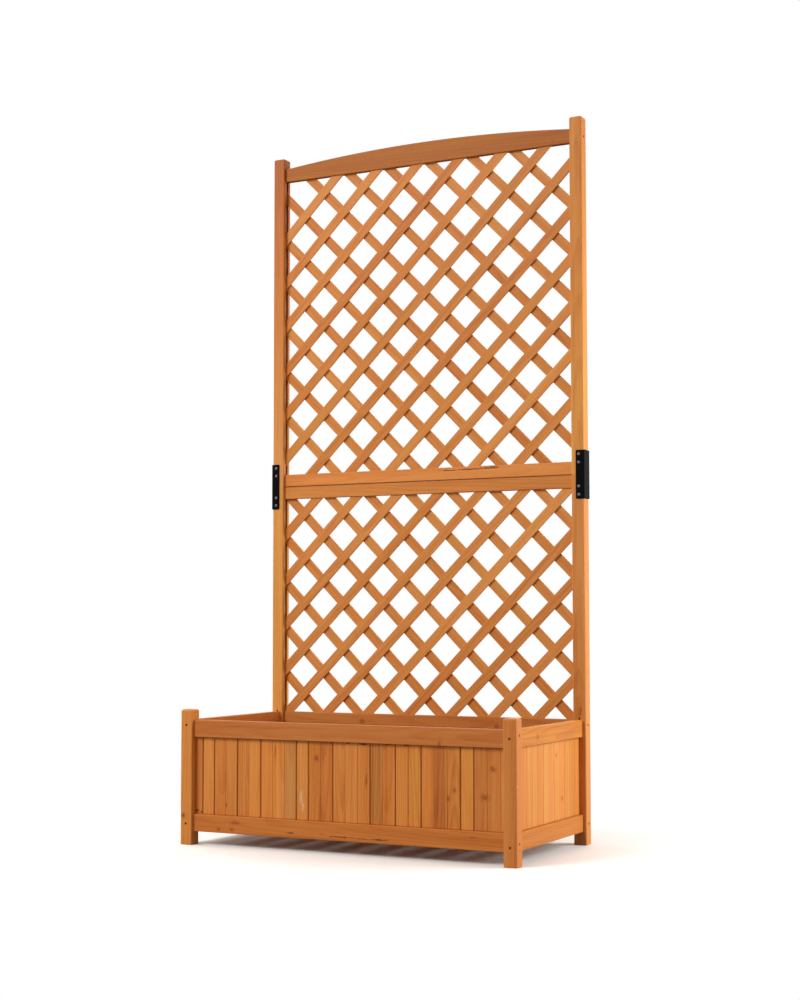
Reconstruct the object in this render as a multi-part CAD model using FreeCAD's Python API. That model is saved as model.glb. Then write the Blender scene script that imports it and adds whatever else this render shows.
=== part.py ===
import FreeCAD, Part
import os

# A free-standing wooden planter box with a lattice trellis on its back.
# The box hangs between two short front legs and two tall rear posts.  Each rear post comes in
# two lengths that meet end to end above the box, where an angle bracket joins them.
# Frame: X to the right, Y to the back, Z up.  The origin is on the floor in the middle of the plan.
# All sizes are in millimetres.

Vector = FreeCAD.Vector

# ---- overall sizes, over the posts ----
overall_width = 762.0
overall_depth = 390.0
overall_height = 1534.0
front_leg_height = 279.5
trellis_joint_height = 770.0        # floor to the joint between the two lengths of rear post

# ---- timber sections ----
post_size = 28.0                    # square section of legs and posts
post_edge_radius = 2.5
post_top_chamfer = 3.0
rail_thickness = 14.0
rail_edge_chamfer = 0.8
planter_rail_height = 35.5
trellis_rail_height = 28.0

# ---- planter box ----
ground_clearance = 27.5             # floor to the underside of the bottom rails
planter_height = 258.0              # floor to the top of the top rails
board_pitch = 28.2                  # one tongue-and-groove board
board_thickness = 6.5
first_long_board_width = 18.5       # the long panels start with a board ripped to this width
rabbet_height = 12.0                # how far a board reaches up or down behind a rail's lip
board_v_chamfer = 1.3
tongue_length = 3.0
tongue_thickness = 2.2

# ---- slatted floor inside the box ----
cleat_width = 18.0
cleat_height = 18.0
cleat_raise = 2.5                   # cleat above the underside of the bottom rail
floor_slat_width = 60.0
floor_slat_thickness = 10.0
drainage_gap = 9.0                  # least gap between floor slats

# ---- trellis ----
arch_end_drop = 24.0                # top of the posts down to the ends of the arched rail
arch_end_height = 30.0              # height of the arched rail where it meets the posts
arch_rise = 18.5                    # middle of the arched rail above its ends
slat_width = 21.0
slat_thickness = 4.0
slat_pitch = 72.3                   # square to the slats
front_slat_offset = 2.0             # front slats, square to themselves, below an even layout
shortest_slat_run = 70.0            # along X; nothing shorter is fitted in the corners
groove_depth = 7.0                  # in posts and rails, round the lattice
rail_joint_gap = 0.8                # shadow gap between the two rails at the trellis joint

# ---- angle brackets at the trellis joint ----
bracket_length = 102.5
bracket_front_leg = 19.5
bracket_thickness = 2.0
bracket_bend_radius = 2.6
bracket_corner_chamfer = 1.5
bracket_screw_inset = 12.4          # outer face of the bracket to the line of screws
bracket_screw_near = 25.2           # joint to the nearer screw
bracket_screw_far = 42.6            # joint to the farther screw
bracket_screw_head_radius = 3.3
bracket_screw_head_height = 1.8
bracket_screw_radius = 1.7
bracket_screw_length = 18.0

# ---- slim screws through legs and posts into rail ends ----
screw_radius = 2.2
screw_length = 48.0
screw_recess = 2.5                  # face of the wood down to the head
recess_radius = 2.6
top_rail_screw_rise = 6.8           # upper row of holes above the middle of a top rail
bottom_rail_screw_drop = 1.7        # upper row of holes below the middle of a bottom rail
screw_row_spacing = 6.0             # screws that cross in one leg are in two rows
arch_screw_height = 12.0            # above the underside of the arched rail
spare_hole_radius = 2.2             # open pilot hole in the front of each rear post
spare_hole_depth = 10.0
spare_hole_rise = 1.8               # above the top of the side rail

# ---- clearances ----
seat_clearance = 0.3                # boards and slats to the bottom of their seats
groove_clearance = 0.2              # each face of the lattice to its groove
board_gap = 0.3                     # between the faces of neighbouring boards
tongue_clearance = 0.25
screw_clearance = 0.15
floor_end_clearance = 0.5

cut_overrun = 1.0                   # how far each cut starts outside the wood
tiny = 1e-6                         # two places closer than this are the same place

# ---- worked out from the above ----
half_width = overall_width / 2
half_depth = overall_depth / 2
post_x = half_width - post_size / 2
post_y = half_depth - post_size / 2
span_x = overall_width - 2 * post_size              # clear width between posts
span_y = overall_depth - 2 * post_size
rail_setback = (post_size - rail_thickness) / 2     # rails are centred on the posts
lip_thickness = rail_thickness - board_thickness
top_rail_bottom = planter_height - planter_rail_height
bottom_rail_top = ground_clearance + planter_rail_height
lattice_thickness = 2 * slat_thickness
groove_width = lattice_thickness + 2 * groove_clearance
arch_rail_bottom = overall_height - arch_end_drop - arch_end_height
lower_rail_top = trellis_joint_height - rail_joint_gap / 2
lower_rail_bottom = trellis_joint_height - trellis_rail_height
upper_rail_bottom = trellis_joint_height + rail_joint_gap / 2
upper_rail_top = trellis_joint_height + trellis_rail_height
bracket_side_leg = post_size + bracket_thickness

nodes = {}


def add(name, solids):
    """Keep the solids of one named sub-part."""
    nodes[name] = solids if isinstance(solids, list) else [solids]


def box(x0, x1, y0, y1, z0, z1):
    """A box between two corners."""
    return Part.makeBox(x1 - x0, y1 - y0, z1 - z0, Vector(x0, y0, z0))


def edges_along(shape, axis):
    """The straight edges that run along one axis, 0, 1 or 2 for X, Y or Z."""
    found = []
    for edge in shape.Edges:
        first = edge.Vertexes[0].Point
        last = edge.Vertexes[-1].Point
        run = [abs(last[i] - first[i]) for i in range(3)]
        if run[axis] > tiny and sum(run) - run[axis] < tiny:
            found.append(edge)
    return found


# ---- screws ----

def screw_line(x, y, z, dx, dy):
    """Where one recessed screw enters the wood, and which way it goes."""
    return (Vector(x, y, z), Vector(dx, dy, 0))


def bar(radius, start, direction, length):
    """A six-sided bar: the body of a screw, or with a little more radius the hole for it."""
    up = Vector(0, 0, radius)
    side = direction.cross(Vector(0, 0, 1)) * (radius * 3 ** 0.5 / 2)
    corners = [start + up, start + up / 2 + side, start - up / 2 + side,
               start - up, start - up / 2 - side, start + up / 2 - side, start + up]
    return Part.Face(Part.makePolygon(corners)).extrude(direction * length)


def slim_screw(face_point, direction):
    """A recessed screw with a head no wider than its thread."""
    return bar(screw_radius, face_point + direction * screw_recess, direction, screw_length)


def slim_screw_hole(face_point, direction):
    """The hole for a recessed screw, with a round recess at the face of the wood."""
    recess = Part.makeCylinder(recess_radius, cut_overrun + screw_recess,
                               face_point - direction * cut_overrun, direction)
    depth = screw_recess + screw_length + screw_clearance
    return recess.fuse(bar(screw_radius + screw_clearance, face_point, direction, depth))


def rail_screw_heights(upper_row):
    """Heights of the two screws in one face of a leg or post, for the top and bottom rails."""
    drop = 0.0 if upper_row else screw_row_spacing
    top = planter_height - planter_rail_height / 2 + top_rail_screw_rise - drop
    bottom = ground_clearance + planter_rail_height / 2 - bottom_rail_screw_drop - drop
    return (top, bottom)


# The two front legs are one part, turned by a quarter turn, so on the left leg the upper row of
# holes faces forwards and on the right leg it faces sideways.
frame_screw_lines = []
for x_sign in (-1, 1):
    for y_sign in (-1, 1):
        upper_row_in_side = not (x_sign < 0 and y_sign < 0)
        for height in rail_screw_heights(upper_row_in_side):
            frame_screw_lines.append(screw_line(
                x_sign * half_width, y_sign * post_y, height, -x_sign, 0))
        for height in rail_screw_heights(not upper_row_in_side):
            frame_screw_lines.append(screw_line(
                x_sign * post_x, y_sign * half_depth, height, 0, -y_sign))

trellis_screw_heights = [(lower_rail_bottom + lower_rail_top) / 2,
                         (upper_rail_bottom + upper_rail_top) / 2,
                         arch_rail_bottom + arch_screw_height]
trellis_screw_lines = []
for x_sign in (-1, 1):
    for height in trellis_screw_heights:
        trellis_screw_lines.append(screw_line(x_sign * half_width, post_y, height, -x_sign, 0))


def bored(shape):
    """The shape with a hole for each recessed screw that meets it."""
    reach = shape.BoundBox
    for start, direction in frame_screw_lines + trellis_screw_lines:
        hole = slim_screw_hole(start, direction)
        if reach.intersect(hole.BoundBox):
            shape = shape.cut(hole)
    return shape


def bracket_screw_points(x_sign):
    """Where the four bracket screws of one side enter, on the front face of the bracket."""
    x = x_sign * (half_width + bracket_thickness - bracket_screw_inset)
    y = half_depth - post_size - bracket_thickness
    offsets = (-bracket_screw_far, -bracket_screw_near, bracket_screw_near, bracket_screw_far)
    return [Vector(x, y, trellis_joint_height + offset) for offset in offsets]


def bracket_screw(point):
    """A flat-headed screw whose head sits on the bracket."""
    back = Vector(0, 1, 0)
    head = Part.makeCylinder(bracket_screw_head_radius, bracket_screw_head_height,
                             point - back * bracket_screw_head_height, back)
    return head.fuse(bar(bracket_screw_radius, point, back, bracket_screw_length))


def bracket_hole(point):
    """The hole for a bracket screw, through the plate and into the post."""
    back = Vector(0, 1, 0)
    depth = cut_overrun + bracket_screw_length + screw_clearance
    return bar(bracket_screw_radius + screw_clearance, point - back * cut_overrun, back, depth)


# ---- legs and posts ----

def post(x_sign, y_sign, z0, z1, free_top):
    """One length of post, with rounded long edges and, at a free end, an eased top."""
    x = x_sign * post_x
    y = y_sign * post_y
    half = post_size / 2
    timber = box(x - half, x + half, y - half, y + half, z0, z1)
    if free_top:
        rim = [edge for edge in edges_along(timber, 0) + edges_along(timber, 1)
               if edge.CenterOfMass.z > z1 - tiny]
        timber = timber.makeChamfer(post_top_chamfer, rim)
    return timber.makeFillet(post_edge_radius, edges_along(timber, 2))


def post_groove(x_sign, z0, z1):
    """The groove that the lattice slides in, in the inner side of a rear post."""
    inner = x_sign * (post_x - post_size / 2)
    bottom = inner + x_sign * groove_depth
    mouth = inner - x_sign * cut_overrun
    return box(min(mouth, bottom), max(mouth, bottom),
               post_y - groove_width / 2, post_y + groove_width / 2, z0, z1)


def spare_hole(x_sign):
    """The open pilot hole in the front of a rear post, just above the side rail."""
    start = Vector(x_sign * post_x, half_depth - post_size, planter_height + spare_hole_rise)
    return Part.makeCylinder(spare_hole_radius, spare_hole_depth, start, Vector(0, 1, 0))


def drilled_for_bracket(timber, x_sign):
    """A rear post with the holes for its half of the bracket's screws."""
    for point in bracket_screw_points(x_sign):
        timber = timber.cut(bracket_hole(point))
    return timber


for side, x_sign in (("left", -1), ("right", 1)):
    add("front_leg_" + side, bored(post(x_sign, -1, 0, front_leg_height, True)))

    lower = post(x_sign, 1, 0, trellis_joint_height, False)
    lower = lower.cut(post_groove(x_sign, planter_height, lower_rail_bottom + groove_depth))
    lower = lower.cut(spare_hole(x_sign))
    add("rear_post_lower_" + side, bored(drilled_for_bracket(lower, x_sign)))

    upper = post(x_sign, 1, trellis_joint_height, overall_height, True)
    upper = upper.cut(post_groove(x_sign, upper_rail_top - groove_depth,
                                  arch_rail_bottom + groove_depth))
    add("rear_post_upper_" + side, bored(drilled_for_bracket(upper, x_sign)))


# ---- planter rails and boards ----

def chamfered_along(shape, axis):
    """A rail with its long edges eased."""
    return shape.makeChamfer(rail_edge_chamfer, edges_along(shape, axis))


def planter_rail(length, z0, rabbet_on_top):
    """A rail along X with its outer face at y = 0 and a rabbet for the boards on its inner side."""
    z1 = z0 + planter_rail_height
    rail = chamfered_along(box(-length / 2, length / 2, 0, rail_thickness, z0, z1), 0)
    step = z1 - rabbet_height if rabbet_on_top else z0 - cut_overrun
    rabbet = box(-length, length, lip_thickness, rail_thickness + cut_overrun,
                 step, step + rabbet_height + cut_overrun)
    return rail.cut(rabbet)


def board(u0, u1, grooved, tongued):
    """One tongue-and-groove board: its V-jointed face is at y = 0 and it stands between the rails."""
    middle = board_thickness / 2
    tongue = tongue_thickness / 2
    slot = tongue + tongue_clearance
    chamfer = board_v_chamfer
    outline = [(u0 + chamfer, 0), (u1 - chamfer, 0), (u1, chamfer)]
    if tongued:
        outline += [(u1, middle - tongue), (u1 + tongue_length, middle - tongue),
                    (u1 + tongue_length, middle + tongue), (u1, middle + tongue)]
    outline += [(u1, board_thickness), (u0, board_thickness)]
    if grooved:
        deep = u0 - board_gap + tongue_length + tongue_clearance
        outline += [(u0, middle + slot), (deep, middle + slot),
                    (deep, middle - slot), (u0, middle - slot)]
    outline.append((u0, chamfer))
    z0 = bottom_rail_top - rabbet_height
    z1 = top_rail_bottom + rabbet_height - seat_clearance
    points = [Vector(u, v, z0) for u, v in outline]
    points.append(points[0])
    return Part.Face(Part.makePolygon(points)).extrude(Vector(0, 0, z1 - z0))


def board_row(length, first_width, pitch):
    """The boards of one panel, from its left end to its right end."""
    joints = [-length / 2]
    joint = -length / 2 + first_width
    while joint < length / 2 - tongue_length:
        joints.append(joint)
        joint += pitch
    joints.append(length / 2)
    boards = []
    for index in range(len(joints) - 1):
        grooved = index > 0
        tongued = index < len(joints) - 2
        u0 = joints[index] + (board_gap / 2 if grooved else seat_clearance)
        u1 = joints[index + 1] - (board_gap / 2 if tongued else seat_clearance)
        boards.append(board(u0, u1, grooved, tongued))
    return boards


def turned_to(shape, side, depth=0.0):
    """Place a piece made facing the front on one side of the box, a depth behind its rails' face."""
    angle = {"front": 0, "right": 90, "back": 180, "left": 270}[side]
    reach = half_depth if side in ("front", "back") else half_width
    placed = shape.copy()
    placed.translate(Vector(0, rail_setback + depth - reach, 0))
    placed.rotate(Vector(), Vector(0, 0, 1), angle)
    return placed


def even_board_width(length):
    """Width of the boards of a panel that is filled with whole boards."""
    return length / max(1, round(length / board_pitch))


for side in ("front", "back", "left", "right"):
    if side in ("front", "back"):
        length = span_x
        boards = board_row(length, first_long_board_width, board_pitch)
    else:
        length = span_y
        boards = board_row(length, even_board_width(length), even_board_width(length))
    top_rail = planter_rail(length, top_rail_bottom, False)
    bottom_rail = planter_rail(length, ground_clearance, True)
    add(side + "_top_rail", bored(turned_to(top_rail, side)))
    add(side + "_bottom_rail", bored(turned_to(bottom_rail, side)))
    add(side + "_boards", [turned_to(piece, side, lip_thickness) for piece in boards])


# ---- slatted floor ----

cleat_bottom = ground_clearance + cleat_raise
cleat_top = cleat_bottom + cleat_height
for side in ("front", "back"):
    cleat = box(-span_x / 2 + seat_clearance, span_x / 2 - seat_clearance,
                0, cleat_width, cleat_bottom, cleat_top)
    add("floor_cleat_" + side, turned_to(cleat, side, rail_thickness))

floor_slat_count = max(1, int((span_x + drainage_gap) // (floor_slat_width + drainage_gap)))
floor_slat_spacing = (span_x + drainage_gap) / floor_slat_count
floor_slat_reach = half_depth - rail_setback - rail_thickness - floor_end_clearance
for index in range(floor_slat_count):
    x = floor_slat_spacing * (index - (floor_slat_count - 1) / 2)
    add("floor_slat_%02d" % (index + 1),
        box(x - floor_slat_width / 2, x + floor_slat_width / 2,
            -floor_slat_reach, floor_slat_reach, cleat_top, cleat_top + floor_slat_thickness))


# ---- trellis rails ----

def rail_groove(z0, z1):
    """The groove for the lattice along the middle of a trellis rail."""
    return box(-span_x, span_x, post_y - groove_width / 2, post_y + groove_width / 2, z0, z1)


def trellis_rail(z0, z1):
    """A straight rail between the rear posts."""
    return chamfered_along(box(-span_x / 2, span_x / 2, post_y - rail_thickness / 2,
                               post_y + rail_thickness / 2, z0, z1), 0)


lower_top = trellis_rail(lower_rail_bottom, lower_rail_top)
lower_top = lower_top.cut(rail_groove(lower_rail_bottom - cut_overrun, lower_rail_bottom + groove_depth))
add("lower_trellis_top_rail", bored(lower_top))

upper_bottom = trellis_rail(upper_rail_bottom, upper_rail_top)
upper_bottom = upper_bottom.cut(rail_groove(upper_rail_top - groove_depth, upper_rail_top + cut_overrun))
add("upper_trellis_bottom_rail", bored(upper_bottom))


def arched_rail():
    """The top rail: straight below, with one shallow arc above."""
    y = post_y - rail_thickness / 2
    half = span_x / 2
    end_top = arch_rail_bottom + arch_end_height
    low_left = Vector(-half, y, arch_rail_bottom)
    low_right = Vector(half, y, arch_rail_bottom)
    high_right = Vector(half, y, end_top)
    high_left = Vector(-half, y, end_top)
    crown = Part.Arc(high_right, Vector(0, y, end_top + arch_rise), high_left)
    outline = Part.Wire([Part.makeLine(low_left, low_right), Part.makeLine(low_right, high_right),
                         crown.toShape(), Part.makeLine(high_left, low_left)])
    timber = Part.Face(outline).extrude(Vector(0, rail_thickness, 0))
    long_edges = [edge for edge in timber.Edges if edge.Length > span_x - tiny]
    return timber.makeChamfer(rail_edge_chamfer, long_edges)


arch = arched_rail().cut(rail_groove(arch_rail_bottom - cut_overrun, arch_rail_bottom + groove_depth))
add("arched_top_rail", bored(arch))


# ---- lattice ----

def lattice_layer(z0, z1, slope, y0, crossing_in_middle, lowered=0.0):
    """Slats at 45 degrees, cut to the panel's rectangle; slope is +1 for rising to the right."""
    half = span_x / 2 + groove_depth - seat_clearance
    panel = box(-half, half, y0, y0 + slat_thickness, z0, z1)
    middle = Vector(0, y0, (z0 + z1) / 2)
    length = 2 * (half + z1 - z0)
    count = int((half + (z1 - z0) / 2) / slat_pitch) + 1
    phase = 0.0 if crossing_in_middle else 0.5
    slats = []
    for index in range(-count, count + 1):
        offset = slat_pitch * (index + phase) - lowered
        slat = box(-length / 2, length / 2, 0, slat_thickness,
                   offset - slat_width / 2, offset + slat_width / 2)
        slat.rotate(Vector(), Vector(0, 1, 0), -45 * slope)
        slat.translate(middle)
        for piece in slat.common(panel).Solids:
            if piece.BoundBox.XLength > shortest_slat_run:
                slats.append(piece)
    return slats


lattice_front_y = post_y - slat_thickness
lower_panel = (planter_height, lower_rail_bottom + groove_depth - seat_clearance)
upper_panel = (upper_rail_top - groove_depth, arch_rail_bottom + groove_depth - seat_clearance)
add("lower_front_slats", lattice_layer(*lower_panel, 1, lattice_front_y, True, front_slat_offset))
add("lower_back_slats", lattice_layer(*lower_panel, -1, post_y, True))
add("upper_front_slats", lattice_layer(*upper_panel, 1, lattice_front_y, False, front_slat_offset))
add("upper_back_slats", lattice_layer(*upper_panel, -1, post_y, False))


# ---- angle brackets ----

def joint_bracket(x_sign):
    """A bent plate round the front and the outer side of a rear post, over the trellis joint."""
    z0 = trellis_joint_height - bracket_length / 2
    outer = half_width + bracket_thickness
    front = half_depth - post_size - bracket_thickness
    plate = box(outer - bracket_front_leg, outer, front, front + bracket_side_leg,
                z0, z0 + bracket_length)
    bend = [edge for edge in edges_along(plate, 2)
            if edge.CenterOfMass.x > outer - tiny and edge.CenterOfMass.y < front + tiny]
    plate = plate.makeFillet(bracket_bend_radius, bend)
    hollow = box(outer - bracket_front_leg - cut_overrun, outer - bracket_thickness,
                 front + bracket_thickness, front + bracket_side_leg + cut_overrun,
                 z0 - cut_overrun, z0 + bracket_length + cut_overrun)
    inner_bend = [edge for edge in edges_along(hollow, 2)
                  if edge.CenterOfMass.x > outer - bracket_thickness - tiny
                  and edge.CenterOfMass.y < front + bracket_thickness + tiny]
    hollow = hollow.makeFillet(bracket_bend_radius - bracket_thickness, inner_bend)
    plate = plate.cut(hollow)
    free_side = outer - bracket_front_leg
    free_back = front + bracket_side_leg
    corners = [edge for edge in edges_along(plate, 1) if edge.CenterOfMass.x < free_side + tiny]
    corners += [edge for edge in edges_along(plate, 0) if edge.CenterOfMass.y > free_back - tiny]
    plate = plate.makeChamfer(bracket_corner_chamfer, corners)
    if x_sign < 0:
        plate = plate.mirror(Vector(), Vector(1, 0, 0))
    for point in bracket_screw_points(x_sign):
        plate = plate.cut(bracket_hole(point))
    return plate


add("joint_bracket_left", joint_bracket(-1))
add("joint_bracket_right", joint_bracket(1))


# ---- screws ----

add("bracket_screws", [bracket_screw(point) for x_sign in (-1, 1)
                       for point in bracket_screw_points(x_sign)])
add("frame_screws", [slim_screw(*line) for line in frame_screw_lines])
add("trellis_screws", [slim_screw(*line) for line in trellis_screw_lines])


# ---- one file per sub-part ----

os.makedirs("parts", exist_ok=True)
for name, solids in nodes.items():
    shape = solids[0] if len(solids) == 1 else Part.makeCompound(solids)
    if not shape.isValid():
        print("not valid:", name)
    shape.exportStep("parts/%s.step" % name)
print(len(nodes), "sub-parts,", sum(len(solids) for solids in nodes.values()), "solids")
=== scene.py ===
import math
import random

import bmesh
import bpy
from mathutils import Matrix, Vector


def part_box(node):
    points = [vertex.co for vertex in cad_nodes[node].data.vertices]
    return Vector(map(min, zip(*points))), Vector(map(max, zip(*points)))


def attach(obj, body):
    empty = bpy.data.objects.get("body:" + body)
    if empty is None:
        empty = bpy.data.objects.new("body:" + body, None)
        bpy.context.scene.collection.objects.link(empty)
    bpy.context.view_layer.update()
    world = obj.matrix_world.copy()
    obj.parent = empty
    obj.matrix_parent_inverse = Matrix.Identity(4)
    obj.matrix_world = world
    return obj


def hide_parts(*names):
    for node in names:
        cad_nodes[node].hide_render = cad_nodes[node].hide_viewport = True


# A wooden planter box with a lattice trellis: the looks of each piece.  Lengths are in metres.

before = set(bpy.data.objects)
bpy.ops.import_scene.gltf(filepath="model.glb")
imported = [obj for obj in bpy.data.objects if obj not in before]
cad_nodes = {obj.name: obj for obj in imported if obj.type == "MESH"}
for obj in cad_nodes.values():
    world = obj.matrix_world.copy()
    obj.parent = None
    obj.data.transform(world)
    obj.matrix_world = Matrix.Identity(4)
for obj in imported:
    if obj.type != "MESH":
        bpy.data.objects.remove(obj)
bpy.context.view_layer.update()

MM = 0.001
BODY = "root"

# ---- eased edges ----
POST_ROUND = 2.6 * MM  # long edges of legs and posts
POST_TOP_ROUND = 4.2 * MM  # free tops of legs and posts
RAIL_ROUND = 1.3 * MM
TRELLIS_RAIL_ROUND = 1.5 * MM
SLAT_ROUND = 0.6 * MM
FLOOR_ROUND = 1.2 * MM
BRACKET_ROUND = 0.4 * MM
BOARD_ROUND = 0.2 * MM  # front edges of a board, beside its chamfers
BOARD_BACK_ROUND = 0.3 * MM
RABBET_ROUND = 0.4 * MM
GROOVE_ROUND = 0.3 * MM
END_EASE = 0.35 * MM  # cut ends that meet another piece
FOOT_EASE = 1.0 * MM

# ---- planter boards ----
BOARD_GAP = 0.3 * MM
TONGUE_THICKNESS = 2.2 * MM
TONGUE_LENGTH = 3.0 * MM
TONGUE_PLAY = 0.25 * MM  # room round a tongue in its groove
FAINT_JOINT = 0.45 * MM  # chamfer of a joint that hardly shows
PLAIN_JOINT = 0.9 * MM
STRONG_JOINT = 1.5 * MM
STRONG_GAP = 0.25 * MM  # how much further each board stands back from a strong joint
UNEVENNESS = 0.12 * MM  # how far a board's face may lie behind its neighbour's

# ---- rails ----
RABBET_HEIGHT = 12.0 * MM
LIP_THICKNESS = 7.5 * MM
GROOVE_DEPTH = 7.0 * MM
GROOVE_CLEARANCE = 0.2 * MM
SEAT_CLEARANCE = 0.3 * MM
ARCH_END_HEIGHT = 30.0 * MM  # height of the arched rail where it meets the posts

# ---- screws ----
RECESS_RADIUS = 2.6 * MM
RECESS_DEPTH = 2.5 * MM
PILOT_RADIUS = 2.3 * MM
SCREW_PLAY = 0.2 * MM
SCREW_REACH = 5.0 * MM  # a post holds the screws whose heads lie this near to it
SPARE_HOLE_RADIUS = 2.2 * MM
SPARE_HOLE_DEPTH = 10.0 * MM
SPARE_HOLE_RISE = 1.8 * MM

# ---- painted shade in creases: where it starts, and how much further in it is dark ----
CREASE_START = 0.3 * MM  # behind the boards' faces
CREASE_DEPTH = 1.5 * MM
INSIDE_START = 1.0 * MM  # behind the faces of a post
INSIDE_DEPTH = 1.0 * MM
SEAM_SPREAD = 1.9 * MM  # above and below the joint of the two trellis rails

# ---- meshes made from the CAD ----
MERGE_DISTANCE = 0.005 * MM
FLAT_ANGLE = math.radians(0.5)  # faces that meet at less than this are one face
EASED_ANGLE = math.radians(28)  # edges sharper than this are rounded
SHARP_ANGLE = math.radians(40)  # edges sharper than this shade sharp
SCREW_SHARP_ANGLE = math.radians(35)
BEND_STEPS = 48  # stretches along the arched rail


# ---- meshes ----

def rounded(corners, radius, steps=4):
    """A closed outline with its corners turned into arcs; a corner may name its own radius."""
    outline = []
    for index, corner in enumerate(corners):
        here = Vector(corner[:2])
        reach = corner[2] if len(corner) > 2 else radius
        if reach == 0:
            outline.append(here)
            continue
        before = (Vector(corners[index - 1][:2]) - here).normalized()
        after = (Vector(corners[(index + 1) % len(corners)][:2]) - here).normalized()
        half = before.angle(after) / 2
        middle = here + (before + after).normalized() * reach / math.sin(half)
        start = here + before * reach / math.tan(half) - middle
        end = here + after * reach / math.tan(half) - middle
        first = math.atan2(start.y, start.x)
        turn = (math.atan2(end.y, end.x) - first + math.pi) % math.tau - math.pi
        for step in range(steps + 1):
            angle = first + turn * step / steps
            outline.append(middle + reach * Vector((math.cos(angle), math.sin(angle))))
    return outline


def lofted(bm, rings):
    """Close a row of rings of points into a solid."""
    rows = [[bm.verts.new(point) for point in ring] for ring in rings]
    for row, after in zip(rows, rows[1:]):
        for index in range(len(row)):
            beside = (index + 1) % len(row)
            bm.faces.new((row[index], row[beside], after[beside], after[index]))
    bm.faces.new(list(reversed(rows[0])))
    bm.faces.new(rows[-1])


def placed(u, v, t, axis):
    """A point of an outline (u, v) at t along an axis, 0, 1 or 2 for X, Y or Z."""
    return [Vector((t, u, v)), Vector((u, t, v)), Vector((u, v, t))][axis]


def eased_steps(low, high, low_ease, high_ease, steps=4):
    """(place along the stick, inset of its outline) for a stick with rounded ends."""
    angles = [math.pi / 2 * step / steps for step in range(steps + 1)]
    stops = [(low + low_ease * (1 - math.cos(angle)), low_ease * (1 - math.sin(angle)))
             for angle in angles]
    stops += [(high - high_ease * (1 - math.cos(angle)), high_ease * (1 - math.sin(angle)))
              for angle in reversed(angles)]
    return stops


def stick(bm, outline, axis, low, high, low_ease=END_EASE, high_ease=END_EASE, bent=None):
    """A stick of one section; bent, if given, says how a point of the outline moves along it."""
    lows = Vector((min(p.x for p in outline), min(p.y for p in outline)))
    highs = Vector((max(p.x for p in outline), max(p.y for p in outline)))
    middle = (lows + highs) / 2
    half = (highs - lows) / 2
    stops = eased_steps(low, high, low_ease, high_ease)
    if bent:
        mid = len(stops) // 2
        first, last = stops[mid - 1][0], stops[mid][0]
        stops[mid:mid] = [(first + (last - first) * step / BEND_STEPS, 0.0)
                          for step in range(1, BEND_STEPS)]
    rings = []
    for place, inset in stops:
        shrink = Vector((1 - inset / half.x, 1 - inset / half.y))
        ring = []
        for point in outline:
            u, v = middle + (point - middle) * shrink
            if bent:
                u, v = bent(u, v, place)
            ring.append(placed(u, v, place, axis))
        rings.append(ring)
    lofted(bm, rings)


def applied(piece):
    """Make the piece's modifiers part of its mesh."""
    evaluated = piece.evaluated_get(bpy.context.evaluated_depsgraph_get())
    mesh = bpy.data.meshes.new_from_object(evaluated)
    piece.modifiers.clear()
    piece.data = mesh
    mesh.name = piece.name


def to_object(name, bm):
    """An object with the mesh, its faces turned outwards."""
    bmesh.ops.recalc_face_normals(bm, faces=bm.faces)
    mesh = bpy.data.meshes.new(name)
    bm.to_mesh(mesh)
    bm.free()
    mesh.shade_smooth()
    piece = bpy.data.objects.new(name, mesh)
    bpy.context.scene.collection.objects.link(piece)
    return piece


def cut_away(piece, cutter_bm):
    """Take the cutter's solids out of the piece."""
    cutter = to_object(piece.name + "_cutter", cutter_bm)
    boolean = piece.modifiers.new("cut", "BOOLEAN")
    boolean.operation = "DIFFERENCE"
    boolean.solver = "EXACT"
    boolean.object = cutter
    applied(piece)
    bpy.data.objects.remove(cutter)


def drum(bm, start, end, radius, sides=24):
    """A round bar between two points."""
    along = (end - start).normalized()
    across = along.orthogonal().normalized()
    other = along.cross(across)
    rings = []
    for middle in (start, end):
        rings.append([middle + radius * (across * math.cos(a) + other * math.sin(a))
                      for a in (math.tau * side / sides for side in range(sides))])
    lofted(bm, rings)


def block(bm, low, high):
    """A plain box, for cutting."""
    corners = [(low[0], low[1]), (high[0], low[1]), (high[0], high[1]), (low[0], high[1])]
    lofted(bm, [[placed(x, y, z, 2) for x, y in corners] for z in (low[2], high[2])])


def islands(bm):
    """The vertices of each solid, in the order of the mesh."""
    seen = set()
    found = []
    for vert in bm.verts:
        if vert.index in seen:
            continue
        seen.add(vert.index)
        reached = [vert]
        for here in reached:
            for edge in here.link_edges:
                other = edge.other_vert(here)
                if other.index not in seen:
                    seen.add(other.index)
                    reached.append(other)
        found.append(reached)
    return found


def cad_copy(node):
    """The solids of a CAD node, with whole faces in place of triangles."""
    bm = bmesh.new()
    bm.from_mesh(cad_nodes[node].data)
    bmesh.ops.remove_doubles(bm, verts=bm.verts, dist=MERGE_DISTANCE)
    bmesh.ops.dissolve_limit(bm, angle_limit=FLAT_ANGLE, verts=bm.verts, edges=bm.edges)
    bm.verts.index_update()
    return bm


def cad_boxes(node):
    """The lowest and highest corner of each solid of a CAD node, from low X, Y and Z up."""
    bm = cad_copy(node)
    boxes = []
    for verts in islands(bm):
        points = [vert.co for vert in verts]
        boxes.append((Vector([min(p[i] for p in points) for i in range(3)]),
                      Vector([max(p[i] for p in points) for i in range(3)])))
    bm.free()
    return sorted(boxes, key=lambda box: [round(c, 5) for c in box[0]])


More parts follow.
